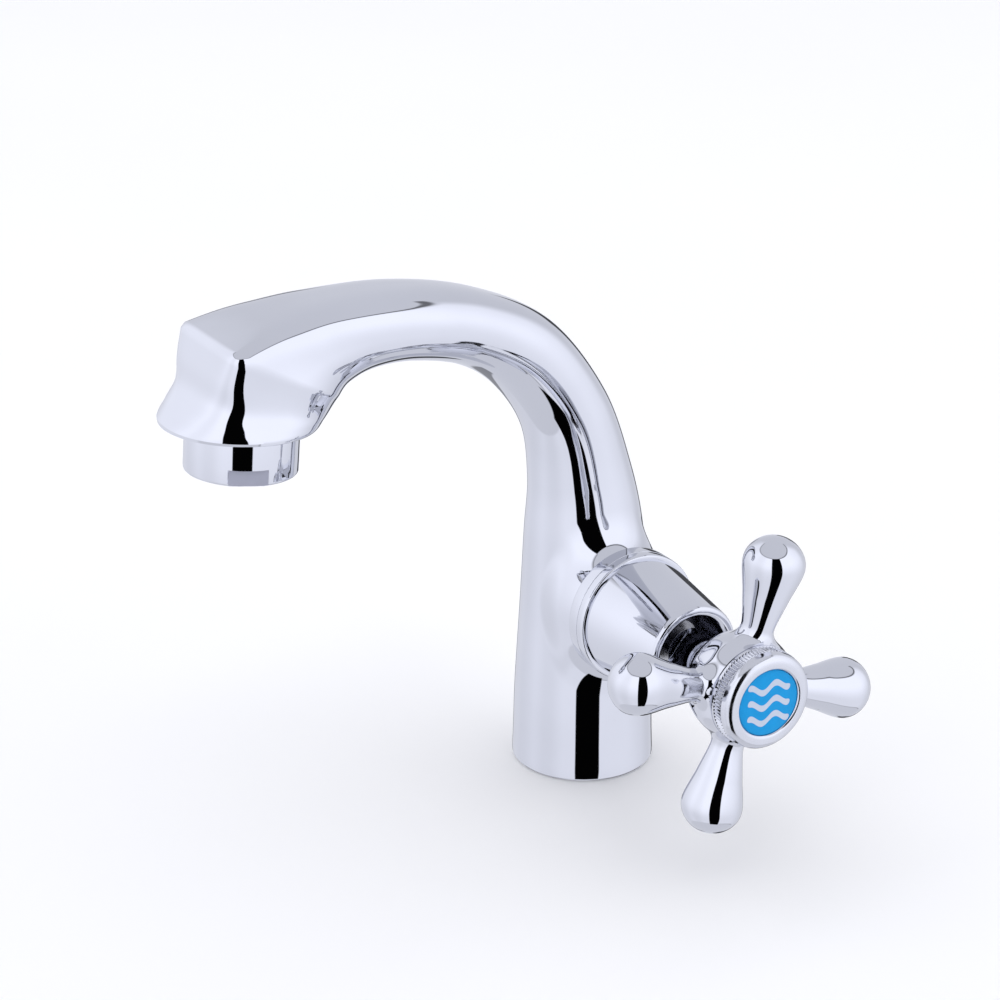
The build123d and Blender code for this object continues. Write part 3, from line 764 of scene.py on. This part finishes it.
def make_handle():
    """Hub with its rear neck and four arms that melt into it, as one skin."""
    hub = smooth_outline(HUB_OUTLINE, HUB_ROWS)
    arm = arm_outline(ARM_POINTS)
    shaft = arm[:ARM_SHAFT_POINTS]
    turns = [ARM_TURN + k * pi / 2 for k in range(4)]
    ways = [np.array((0, sin(turn), cos(turn))) for turn in turns]
    origin = np.array((ARM_X, 0, HANDLE_Z))

    def arm_distance(points, way):
        offset = points - origin
        reach = offset @ way
        away = np.linalg.norm(offset - reach[:, None] * way, axis=1)
        radius = np.interp(reach, shaft[:, 0], shaft[:, 1])
        return np.where(reach > ARM_START, away - radius, FAR)

    def field(points):
        radius = np.interp(points[:, 0], hub[:, 0], hub[:, 1])
        body = np.hypot(points[:, 1], points[:, 2] - HANDLE_Z) - radius
        arms = np.min([arm_distance(points, way) for way in ways], axis=0)
        return melt(body, arms, ARM_MELT)

    rings = [handle_circle(along, radius, HUB_AROUND) for along, radius in hub]
    rings = [settle(ring, field, free=(0, 1, 1), steps=6) for ring in rings]
    low = int(np.abs(hub[:, 0] - ARM_HOLE_START).argmin())
    high = HUB_ROWS - 2
    holes = []
    for turn in turns:
        column = round((pi / 2 - turn) / (2 * pi) * HUB_AROUND) % HUB_AROUND
        holes.append((low, high, column - ARM_HALF_TURN, column + ARM_HALF_TURN))
    shell = Shell()
    index, edges = shell.skin(rings, holes)
    for edge, way in zip(edges, ways):
        points = np.array([shell.points[k] for k in edge]) - origin
        side = np.cross(way, (1, 0, 0))
        turn = np.arctan2(points @ side, points[:, 0])

        def around_arm(reach, radius):
            return (origin + reach * way + radius * (np.cos(turn)[:, None] * np.array((1, 0, 0))
                                                     + np.sin(turn)[:, None] * side))

        base_r = np.interp(ARM_BASE, shaft[:, 0], shaft[:, 1])
        ring = shell.limb(edge, around_arm(ARM_BASE, base_r), ARM_STEPS, field)
        plain = (arm[:, 0] > ARM_BASE + 0.2) | (np.arange(len(arm)) > ARM_SHAFT_POINTS)
        outer = arm[plain][::ARM_STRIDE]
        for reach, radius in outer[:-1]:
            fresh = shell.ring(around_arm(reach, max(radius, 0.05)))
            shell.join(ring, fresh)
            ring = fresh
        shell.close(ring)
    ring = index[0]
    inner = [(HUB_REAR, NECK_R), (NECK_START + 1.0, NECK_R), (NECK_START, NECK_R - 0.6),
             (NECK_START, BORE_R), (SPLINE_END, BORE_R), (SPLINE_END, SCREW_HOLE_R),
             (RECESS_FLOOR, SCREW_HOLE_R), (RECESS_FLOOR, RECESS_R), (HUB_FRONT, RECESS_R)]
    for along, radius in inner:
        fresh = shell.ring(handle_circle(along, radius, HUB_AROUND))
        shell.join(ring, fresh)
        ring = fresh
    shell.join(ring, index[-1])
    return piece("cross", shell, "handle", "chrome_handle", "cross_handle")


make_handle()


# ---- aerator ----------------------------------------------------------------------------------
FLAT_TURN = radians(-17)      # wrench flats, round the outlet's axis
FLAT_HEIGHT = 4.2
FLAT_HALF_WIDTH = 5.0
FLAT_DISTANCE = 13.2
FLAT_NEAR = 12.9              # faces of the flats lie between these from the outlet's axis
FLAT_FAR = 14.15
# milled satin metal of the flats, given a diffuse grey that is painted sheen in place of the light
# it reflects
FLAT_SHEEN_GREY = (0.42, 0.43, 0.52)
HOUSING_R = 14.3
HOUSING_AROUND = 720
HOUSING_TOP = 17.5
SKIRT_TOP = 11.4              # above it the housing is threaded into the nose
THREAD_R = 12.0
HOUSING_BORE_R = 11.2
RIM_R = 10.2


def make_aerator_housing():
    """Threaded housing with two wrench flats at its rim."""
    corners = [(2.0, HOUSING_BORE_R), (1.2, RIM_R, 0.2), (0.0, RIM_R, 0.2),
               (0.0, HOUSING_R, 0.9), (FLAT_HEIGHT, HOUSING_R), (FLAT_HEIGHT + 0.02, HOUSING_R),
               (SKIRT_TOP, HOUSING_R, 0.3), (SKIRT_TOP, THREAD_R), (HOUSING_TOP, THREAD_R),
               (HOUSING_TOP, HOUSING_BORE_R)]
    turn = -pi + 2 * pi * np.arange(HOUSING_AROUND) / HOUSING_AROUND
    rings = []
    for along, radius in soften(corners):
        radii = np.full(HOUSING_AROUND, radius)
        if radius > 12.5 and along < FLAT_HEIGHT + 0.01:
            for flat in (-FLAT_TURN, -FLAT_TURN + pi):
                toward = radius * np.cos(turn - flat)
                beside = np.abs(FLAT_DISTANCE * np.tan(turn - flat))
                inside = (toward > FLAT_DISTANCE) & (beside < FLAT_HALF_WIDTH)
                radii = np.where(inside, FLAT_DISTANCE / np.cos(turn - flat), radii)
        rings.append(outlet_circle(along, radii, HOUSING_AROUND))
    shell = Shell()
    shell.join(shell.stack(rings), list(range(HOUSING_AROUND)))
    sleeve = piece("aerator_sleeve", shell, "tap_body", "chrome_aerator", "aerator_housing")
    # the wrench flats get a diffuse grey instead of chrome: painted sheen standing in for their
    # reflection
    sleeve.data.materials.append(matte("milled_flat_painted_sheen", FLAT_SHEEN_GREY, roughness=0.45))
    for face in sleeve.data.polygons:
        out = face.center - OUTLET * MM
        height = out.dot(OUTLET_UP)
        away = (out - OUTLET_UP * height).length
        upright = abs(face.normal.dot(OUTLET_UP)) < 0.5
        if upright and height < FLAT_HEIGHT * MM and FLAT_NEAR * MM < away < FLAT_FAR * MM:
            face.material_index = 1
    return sleeve


make_aerator_housing()

# ---- studio -----------------------------------------------------------------------------------
CAMERA_PLACE = Vector((533.96, -337.52, 327.09)) * MM
CAMERA_BACK = Vector((0.8029, -0.4674, 0.3701))
CAMERA_RIGHT = Vector((0.5031, 0.8642, 0.0))
LENS = 90.44
LOW_LIGHT = 1.01              # soft boxes at and below the camera's own slope
HIGH_LIGHT = 1.32             # and towards their top
TOP_GREY = 0.78
LOW_GREY = 0.80
GAP = (radians(-13), radians(26))
EDGE = radians(0.8)           # softness of the gap's edges
BOX_HEIGHTS = (radians(-52), radians(48))
BOX_TURNS = (radians(-150), radians(125))
GAP_HEIGHTS = (radians(-58), radians(50))
# Narrow dark edges of the soft boxes: turns from and to, heights from and to, darkness
SHADES = [
    (radians(26), radians(140), radians(49), radians(51.5), 0.75),
    (radians(-150), radians(-13), radians(50), radians(52), 0.5),
    (radians(26), radians(110), radians(-54), radians(-52), 0.35),
    (radians(158), radians(172), radians(-60), radians(4), 0.9),
    (radians(-174), radians(-166), radians(-60), radians(4), 0.6),
]
FLOOR_SIZE = 6.0
TOP_PANEL_SIZE = 3.0
TOP_PANEL_HEIGHT = 2.2
TOP_PANEL_WATTS = 17.0


def camera():
    """Camera at the photograph's angle."""
    back = CAMERA_BACK.normalized()
    right = CAMERA_RIGHT.normalized()
    up = back.cross(right)
    data = bpy.data.cameras.new("camera")
    data.lens = LENS
    data.sensor_width = 36.0
    data.clip_start = 0.01
    result = bpy.data.objects.new("camera", data)
    bpy.context.scene.collection.objects.link(result)
    turn = Matrix((right, up, back)).transposed().to_4x4()
    result.matrix_world = Matrix.Translation(CAMERA_PLACE) @ turn
    bpy.context.scene.camera = result


def band(tree, value, start, end, soft):
    """1 between two values and 0 outside them, with soft edges."""
    rise = spread(tree, value, 0, 1, start - soft, start + soft)
    fall = spread(tree, value, 1, 0, end - soft, end + soft)
    return math(tree, "MULTIPLY", rise, fall)


def studio_light():
    """Large soft boxes on both sides with a dark gap between them, and grey all round."""
    world = bpy.data.worlds.new("studio")
    world.use_nodes = True
    bpy.context.scene.world = world
    tree = world.node_tree
    direction = tree.nodes.new("ShaderNodeTexCoord").outputs["Generated"]
    parts = []
    level = Vector((CAMERA_BACK.x, CAMERA_BACK.y, 0)).normalized()
    for axis in (level, CAMERA_RIGHT.normalized(), Vector((0, 0, 1))):
        node = tree.nodes.new("ShaderNodeVectorMath")
        node.operation = "DOT_PRODUCT"
        node.inputs[1].default_value = axis
        tree.links.new(direction, node.inputs[0])
        parts.append(node.outputs["Value"])
    turn = math(tree, "ARCTAN2", parts[1], parts[0])
    height = math(tree, "ARCSINE", parts[2])
    boxes = band(tree, height, *BOX_HEIGHTS, radians(1.5))
    wide = band(tree, turn, *BOX_TURNS, radians(14))
    lit = math(tree, "MULTIPLY", boxes, wide)
    fall = spread(tree, math(tree, "ABSOLUTE", turn), 1.0, 0.86, radians(70), radians(130))
    hollow = math(tree, "SUBTRACT", 1.0, math(tree, "MULTIPLY", 0.09, band(
        tree, turn, radians(-80), radians(-45), radians(14))))
    box = spread(tree, height, LOW_LIGHT, HIGH_LIGHT, radians(-34), radians(20))
    box = math(tree, "MULTIPLY", math(tree, "MULTIPLY", box, fall), hollow)
    grey = spread(tree, height, LOW_GREY, TOP_GREY, radians(-10), radians(10))
    base = math(tree, "ADD", math(tree, "MULTIPLY", lit, box),
                math(tree, "MULTIPLY", math(tree, "SUBTRACT", 1.0, lit), grey))
    dark = band(tree, turn, *GAP, EDGE)
    dark = math(tree, "MULTIPLY", dark, band(tree, height, *GAP_HEIGHTS, EDGE))
    for start, end, low, high, share in SHADES:
        part = math(tree, "MULTIPLY", band(tree, turn, start, end, EDGE),
                    band(tree, height, low, high, EDGE))
        dark = math(tree, "MAXIMUM", dark, math(tree, "MULTIPLY", part, share))
    value = math(tree, "MULTIPLY", base, math(tree, "SUBTRACT", 1.0,
                                             math(tree, "MULTIPLY", dark, 0.999)))
    tint = tree.nodes.new("ShaderNodeCombineColor")
    for socket, share in zip(("Red", "Green", "Blue"), (0.955, 0.975, 1.06)):
        tree.links.new(math(tree, "MULTIPLY", value, share), tint.inputs[socket])
    tree.links.new(tint.outputs["Color"], tree.nodes["Background"].inputs["Color"])


def floor():
    """Pale floor that the chrome doesn't mirror, as the soft boxes reach below it."""
    mesh = bpy.data.meshes.new("floor")
    half = FLOOR_SIZE / 2
    mesh.from_pydata([(-half, -half, 0), (half, -half, 0), (half, half, 0), (-half, half, 0)], [],
                     [(0, 1, 2, 3)])
    result = bpy.data.objects.new("floor", mesh)
    bpy.context.scene.collection.objects.link(result)
    material, tree, shader, place = start_material("floor")
    tone = spread(tree, noise(tree, place, 3.0), 0, 1)
    tree.links.new(mixed(tree, tone, (0.96, 0.95, 0.93), (0.95, 0.94, 0.92)),
                   shader.inputs["Base Color"])
    shader.inputs["Roughness"].default_value = 0.9
    mesh.materials.append(material)
    result.visible_glossy = False


def top_light():
    """Wide overhead panel that lights the floor; the chrome doesn't mirror it."""
    data = bpy.data.lights.new("top_panel", "AREA")
    data.shape = "SQUARE"
    data.size = TOP_PANEL_SIZE
    data.energy = TOP_PANEL_WATTS
    result = bpy.data.objects.new("top_panel", data)
    bpy.context.scene.collection.objects.link(result)
    result.location = (0, 0, TOP_PANEL_HEIGHT)
    result.visible_glossy = False
    result.visible_camera = False


camera()
studio_light()
floor()
top_light()
bpy.context.scene.view_settings.view_transform = "Standard"
